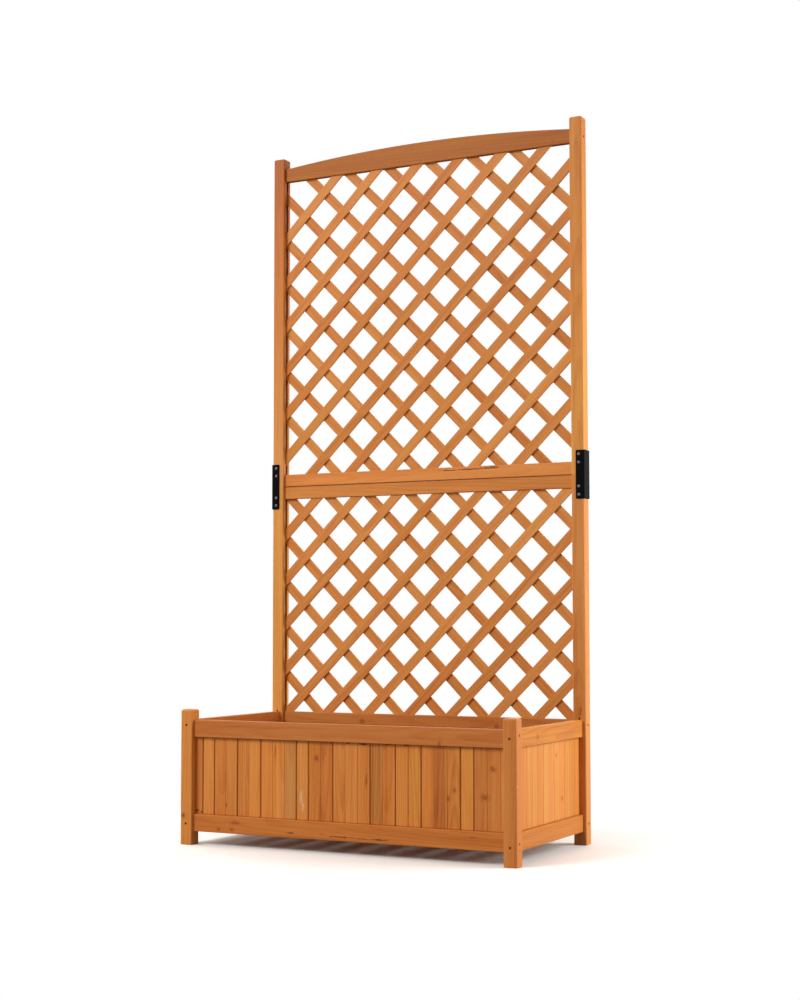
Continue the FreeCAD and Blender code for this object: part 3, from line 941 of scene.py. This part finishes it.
post("leg_left", "front_leg_left", left_leg_wood, 11, "plain")
post("leg_right", "front_leg_right", right_leg_wood, 12, "clay")
post("lower_post_left", "rear_post_lower_left", post_wood, 13, "honey", LOWER_LATTICE)
post("lower_post_right", "rear_post_lower_right", post_wood, 14, "straw", LOWER_LATTICE)
# The upper posts grow darker towards their tops: painted shade, for light that falls off there.
post("upper_post_left", "rear_post_upper_left", post_wood, 15, "rust", UPPER_LATTICE, 3.2)
post("upper_post_right", "rear_post_upper_right", post_wood, 16, "honey", UPPER_LATTICE, 1.0)


# ---- planter rails ----

def planter_rail(side, level, material, seed, look):
    """A rail of the box, with the rabbet that holds the boards along its inner side."""
    node = "%s_%s_rail" % (side, level)
    low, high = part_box(node)
    long_axis = 0 if side in ("front", "back") else 1
    short_axis = 1 - long_axis
    outwards = -1 if side in ("front", "left") else 1
    outer, inner = low[short_axis], high[short_axis]
    if outwards > 0:
        outer, inner = inner, outer
    lip = outer - outwards * LIP_THICKNESS
    if level == "top":
        step = low.z + RABBET_HEIGHT
        corners = [(outer, low.z), (lip, low.z, RABBET_ROUND), (lip, step, 0),
                   (inner, step, RABBET_ROUND), (inner, high.z), (outer, high.z)]
    else:
        step = high.z - RABBET_HEIGHT
        corners = [(outer, low.z), (inner, low.z), (inner, step, RABBET_ROUND), (lip, step, 0),
                   (lip, high.z, RABBET_ROUND), (outer, high.z)]
    bm = bmesh.new()
    stick(bm, rounded(corners, RAIL_ROUND), long_axis, low[long_axis], high[long_axis])
    wooden(to_object("finished_" + node, bm), node, "wood_rails", material, seed, spread=0.6,
           looks=[look])


for side, level, material, seed, look in (
        ("front", "top", front_top_wood, 31, "brick"),
        ("front", "bottom", front_bottom_wood, 32, "deep"),
        ("right", "top", right_top_wood, 33, "amber"),
        ("right", "bottom", rail_wood, 34, "copper"),
        ("back", "top", back_top_wood, 35, "umber"),
        ("back", "bottom", rail_wood, 36, "plain"),
        ("left", "top", rail_wood, 37, "rust"),
        ("left", "bottom", rail_wood, 38, "plain")):
    planter_rail(side, level, material, seed, look)


# ---- boards ----

def joint_sizes(number, strong, faint):
    """(chamfer, gap) of the V joint at the near end of a board, by the board's number."""
    if number in strong:
        return STRONG_JOINT, STRONG_GAP
    if number in faint:
        return FAINT_JOINT, 0.0
    return PLAIN_JOINT, 0.0


def board_outline(first, last, tip, front, middle, back, chamfers, grooved, tongued):
    """Section of a board, along the panel and through it; its tongue ends at tip."""
    sign = 1 if last > first else -1
    into = 1 if back > front else -1
    near, far = chamfers
    half = into * TONGUE_THICKNESS / 2
    corners = [(first + sign * near, front, BOARD_ROUND), (last - sign * far, front, BOARD_ROUND),
               (last, front + into * far, 0)]
    if tongued:
        corners += [(last, middle - half, 0), (tip, middle - half, 0),
                    (tip, middle + half, 0), (last, middle + half, 0)]
    corners += [(last, back, BOARD_BACK_ROUND), (first, back, BOARD_BACK_ROUND)]
    if grooved:
        slot = half + into * TONGUE_PLAY
        deep = first + sign * (TONGUE_LENGTH + TONGUE_PLAY)
        corners += [(first, middle + slot, 0), (deep, middle + slot, 0),
                    (deep, middle - slot, 0), (first, middle - slot, 0)]
    corners.append((first, front + into * near, 0))
    return rounded(corners, BOARD_ROUND, steps=2)


def board_panel(side, material, seed, strong=(), faint=(), looks=None, spread=1.0):
    """Tongue-and-groove boards, with V joints that are strong, plain or faint.

    They are numbered from the end where the tongues point away from the post.
    """
    node = side + "_boards"
    along = 0 if side in ("front", "back") else 1
    thin = 1 - along
    facing = -1 if side in ("front", "left") else 1
    sign = -1 if side in ("back", "left") else 1
    near_end, far_end = (0, 1) if sign > 0 else (1, 0)
    outer, inner = (0, 1) if facing < 0 else (1, 0)
    boxes = sorted(cad_boxes(node), key=lambda box: sign * box[0][along])
    # The tongue is on each board's far side, so a board's body ends where the next one starts.
    starts = [box[near_end][along] for box in boxes]
    ends = [start - sign * BOARD_GAP for start in starts[1:]] + [boxes[-1][far_end][along]]
    bm = bmesh.new()
    rng = random.Random(seed)
    for number, (box, start, end) in enumerate(zip(boxes, starts, ends)):
        near_chamfer, near_gap = joint_sizes(number, strong, faint)
        far_chamfer, far_gap = joint_sizes(number + 1, strong, faint)
        grooved = number > 0
        tongued = number < len(boxes) - 1
        face, back = box[outer][thin], box[inner][thin]
        outline = board_outline(
            start + sign * near_gap * grooved, end - sign * far_gap * tongued, box[far_end][along],
            face - facing * rng.uniform(0.0, UNEVENNESS), (face + back) / 2, back,
            (near_chamfer, far_chamfer), grooved, tongued)
        if along == 1:
            outline = [Vector((p.y, p.x)) for p in outline]
        stick(bm, outline, 2, box[0].z, box[1].z)
    piece = to_object("finished_" + node, bm)
    outermost = max(facing * vert.co[thin] for vert in piece.data.vertices)

    def between(place):
        """Painted shade in the joints, behind the faces of the boards."""
        return (outermost - facing * place[thin] - CREASE_START) / CREASE_DEPTH

    wooden(piece, node, "wood_boards", material, seed, between, spread=spread, looks=looks,
           order=lambda middle: sign * middle[along])


# The "shaded" boards toward the right end are darker: painted shade, for light that falls off towards
# the right.
FRONT_LOOKS = ("deep plain plain plain pale gold red gold grey pale plain plain plain plain plain "
               "grey red gold gold red dusk plain gold dusk dusk dusk").split()
# The right panel's boards are tinted paler and yellower: painted light, for how brightly lit wood
# looks on that side.
RIGHT_LIT_LOOKS = "honey gold honey honey gold honey pale honey gold honey honey gold".split()
board_panel("front", front_board_wood, 41, strong=(1, 2, 4, 6, 9, 10, 12, 15, 17, 19, 22, 23),
            faint=(3, 5, 7, 8, 11, 13, 14, 16, 20, 21, 24, 25), looks=FRONT_LOOKS, spread=0.75)
board_panel("right", right_board_wood, 42, faint=(1, 3, 4, 6, 8, 10), looks=RIGHT_LIT_LOOKS,
            spread=0.45)
board_panel("left", board_wood, 43, strong=(3, 8), faint=(1, 5, 9))
board_panel("back", board_wood, 44, strong=(4, 11, 18), faint=(2, 7, 9, 15, 20, 22))


# ---- floor of the box ----

floor_seeds = {"floor_slat_%02d" % number: 60 + number for number in range(1, 11)}
floor_seeds.update({"floor_cleat_front": 80, "floor_cleat_back": 80})
for node, seed in floor_seeds.items():
    wooden(eased_copy(node, FLOOR_ROUND), node, "wood_floor", floor_wood, seed)


# ---- trellis rails ----

TRELLIS_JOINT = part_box("rear_post_upper_left")[0].z


def arch(low, high, end_top):
    """How the arched rail's outline moves along it: its top follows a circle, its foot stays."""
    rise = high.z - end_top
    half = (high.x - low.x) / 2
    radius = (half * half + rise * rise) / (2 * rise)
    foot = low.z + GROOVE_DEPTH

    def bent(u, v, place):
        lift = math.sqrt(radius * radius - place * place) - (radius - rise)
        return u, v + lift * max(0.0, (v - foot) / (end_top - foot))

    return bent


def seam(place):
    """Painted shade along the joint of the two rails that meet."""
    return 1 - abs(place.z - TRELLIS_JOINT) / SEAM_SPREAD


def trellis_rail(node, material, seed, look, groove_below, arched=False):
    """A rail between the rear posts, with the lattice's groove along one edge."""
    low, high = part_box(node)
    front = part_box(UPPER_LATTICE[0])[0].y - GROOVE_CLEARANCE
    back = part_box(UPPER_LATTICE[1])[1].y + GROOVE_CLEARANCE
    top = low.z + ARCH_END_HEIGHT if arched else high.z
    if groove_below:
        deep = low.z + GROOVE_DEPTH
        corners = [(low.y, low.z), (front, low.z, GROOVE_ROUND), (front, deep, 0),
                   (back, deep, 0), (back, low.z, GROOVE_ROUND), (high.y, low.z),
                   (high.y, top), (low.y, top)]
    else:
        deep = top - GROOVE_DEPTH
        corners = [(low.y, low.z), (high.y, low.z), (high.y, top), (back, top, GROOVE_ROUND),
                   (back, deep, 0), (front, deep, 0), (front, top, GROOVE_ROUND), (low.y, top)]
    bm = bmesh.new()
    stick(bm, rounded(corners, TRELLIS_RAIL_ROUND), 0, low.x, high.x,
          bent=arch(low, high, top) if arched else None)
    wooden(to_object("finished_" + node, bm), node, "wood_rails", material, seed, seam,
           spread=0.6, looks=[look])


trellis_rail("lower_trellis_top_rail", rail_wood, 51, "tan", True)
trellis_rail("upper_trellis_bottom_rail", cracked_wood, 52, "red", False)
trellis_rail("arched_top_rail", rail_wood, 53, "walnut", True, arched=True)


# ---- lattice ----

for seed, node in enumerate(LOWER_LATTICE + UPPER_LATTICE, start=90):
    wooden(eased_copy(node, SLAT_ROUND), node, "wood_slats", slat_wood,
           seed, spread=0.7, looks=["tan" if node in UPPER_LATTICE else "sand"])


# ---- brackets ----

for side in ("left", "right"):
    node = "joint_bracket_" + side
    bracket = eased_copy(node, BRACKET_ROUND, shortest=1.2 * MM)
    even_normals(bracket)
    dress(bracket, node, bracket_paint)


# ---- studio ----

FLOOR_REACH = 30.0
FLOOR_COLOUR = (0.965, 0.935, 0.895, 1.0)
BOUNCE_COLOUR = (0.34, 0.34, 0.34, 1.0)  # of the light that the floor sends back up
SHADOW_ZONE = (0.4, 0.95)  # from here to here the floor's colour gives way to plain white
WHITE = (1.0, 1.0, 1.0, 1.0)
SOFT_LIGHT = 0.34  # strength of the light from all round
SOFT_BOXES = (  # name, place, target, width, height, watts
    ("front_soft_box", (-2.2, -3.8, 3.6), (0, 0, 0.6), 2.2, 2.2, 200),
    ("right_soft_box", (2.3, 0.8, 1.0), (0.3, 0, 0.5), 1.4, 1.7, 62),
    ("left_soft_box", (-1.8, 0.2, 0.6), (-0.3, 0, 0.1), 1.2, 1.0, 21),
    ("top_soft_box", (-0.2, -0.5, 4.0), (0, 0, 0.4), 2.4, 2.0, 20),
    ("back_soft_box", (-0.8, 4.2, 2.6), (0, 0, 0.6), 2.4, 2.0, 55),
)


def studio_floor():
    """A plain pale floor that shows the planter's soft shadow and is even white further out."""
    bm = bmesh.new()
    corners = ((-1, -1), (1, -1), (1, 1), (-1, 1))
    bm.faces.new([bm.verts.new((x * FLOOR_REACH, y * FLOOR_REACH, 0)) for x, y in corners])
    floor = to_object("studio_floor", bm)
    tree = Tree("studio_floor")
    near = tree.node("ShaderNodeBsdfDiffuse", {"Color": FLOOR_COLOUR})
    white = tree.node("ShaderNodeEmission")
    far = tree.smooth(tree.vector("LENGTH", tree.place()), *SHADOW_ZONE)
    seen = tree.node("ShaderNodeMixShader", {0: far, 1: near.outputs[0], 2: white.outputs[0]})
    bounce = tree.node("ShaderNodeBsdfDiffuse", {"Color": BOUNCE_COLOUR})
    both = tree.node("ShaderNodeMixShader",
                     {0: tree.background_ray(), 1: bounce.outputs[0], 2: seen.outputs[0]})
    floor.data.materials.append(tree.surface(both.outputs[0]))


def studio_world():
    """Even soft light from all round, and white where the camera and shiny surfaces see past."""
    tree = Tree("studio", "worlds")
    soft = tree.node("ShaderNodeBackground", {"Color": WHITE, "Strength": SOFT_LIGHT})
    white = tree.node("ShaderNodeBackground", {"Color": WHITE, "Strength": 1.0})
    mixed = tree.node("ShaderNodeMixShader",
                      {0: tree.background_ray(), 1: soft.outputs[0], 2: white.outputs[0]})
    bpy.context.scene.world = tree.surface(mixed.outputs[0], "ShaderNodeOutputWorld")


def soft_box(name, place, target, width, height, watts):
    """A soft box aimed at a point."""
    light = bpy.data.lights.new(name, "AREA")
    light.shape = "RECTANGLE"
    light.size = width
    light.size_y = height
    light.energy = watts
    lamp = bpy.data.objects.new(name, light)
    lamp.visible_camera = False
    lamp.location = place
    lamp.rotation_euler = (Vector(target) - Vector(place)).to_track_quat("-Z", "Y").to_euler()
    bpy.context.scene.collection.objects.link(lamp)


studio_floor()
studio_world()
for row in SOFT_BOXES:
    soft_box(*row)


# ---- camera, set to the photograph's view ----

CAMERA_PLACE = Vector((1.65384, -3.13471, 0.46658))
CAMERA_AZIMUTH = math.radians(27.324)  # turned from looking along +Y
CAMERA_PITCH = math.radians(3.588)  # looking up
CAMERA_ROLL = math.radians(-0.047)
SENSOR = 36.0
FOCAL_PIXELS = 1686.487
PICTURE_HEIGHT = 1000
HORIZON_PIXEL = 513.631  # row of the picture that the lens points at
SIGHT = 200.0

lens = bpy.data.cameras.new("photo_view")
lens.sensor_fit = "VERTICAL"
lens.sensor_height = SENSOR
lens.lens = FOCAL_PIXELS * SENSOR / PICTURE_HEIGHT
lens.shift_y = (HORIZON_PIXEL - PICTURE_HEIGHT / 2) / PICTURE_HEIGHT
lens.clip_end = SIGHT
camera = bpy.data.objects.new("photo_view", lens)
turn = Matrix.Rotation(CAMERA_AZIMUTH, 4, "Z")
tilt = Matrix.Rotation(math.pi / 2 + CAMERA_PITCH, 4, "X")
roll = Matrix.Rotation(CAMERA_ROLL, 4, "Z")
camera.matrix_world = Matrix.Translation(CAMERA_PLACE) @ turn @ tilt @ roll
bpy.context.scene.collection.objects.link(camera)
bpy.context.scene.camera = camera
bpy.context.scene.view_settings.view_transform = "Standard"

bpy.context.view_layer.update()
